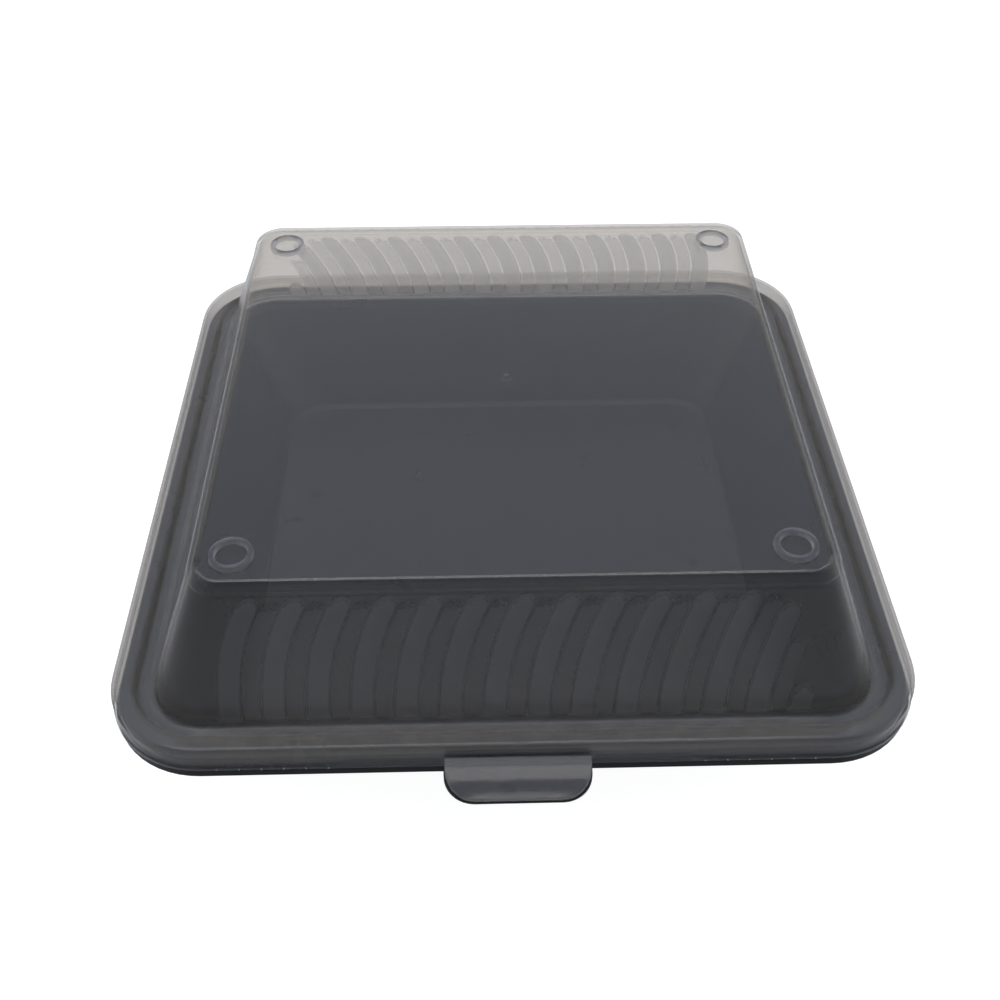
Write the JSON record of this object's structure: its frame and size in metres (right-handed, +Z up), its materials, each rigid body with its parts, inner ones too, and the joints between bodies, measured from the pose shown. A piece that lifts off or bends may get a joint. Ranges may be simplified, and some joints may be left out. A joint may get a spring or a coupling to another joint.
{
  "type": "lidded food container",
  "caption": "Square reusable food box: a deep tray under a translucent domed press-on lid with stacking rings, ribbed walls and a front pull tab.",
  "frame": {"origin": "centre of the tray's flat underside", "axes": "+Z up through the dome, -Y towards the pull tabs, +X to the right seen from the front"},
  "size_m": [0.2298, 0.2405, 0.0828],
  "materials": {
    "tray_plastic": "black moulded polypropylene, smooth satin with a faint moulding texture",
    "lid_plastic": "natural milky translucent polypropylene, glossy, slightly cloudy",
    "tab_plastic": "the same milky translucent polypropylene as the lid, thinned along the hinge line"
  },
  "bodies": {
    "tray": {"tray": "tray_plastic", "tray_pull_tab": "tray_plastic"},
    "lid": {"lid": "lid_plastic"},
    "pull_tab": {"lid_pull_tab": "tab_plastic"}
  },
  "joints": [
    {"name": "lid_lift", "type": "slide", "parent": "tray", "child": "lid", "axis": [0, 0, 1], "range_m": [0, 0.08]},
    {"name": "tab_flex", "type": "hinge", "parent": "lid", "child": "pull_tab", "pos_m": [0, -0.1152, 0.0405], "axis": [-1, 0, 0], "range_deg": [0, 30], "stiffness_Nm_per_rad": 0.02}
  ]
}
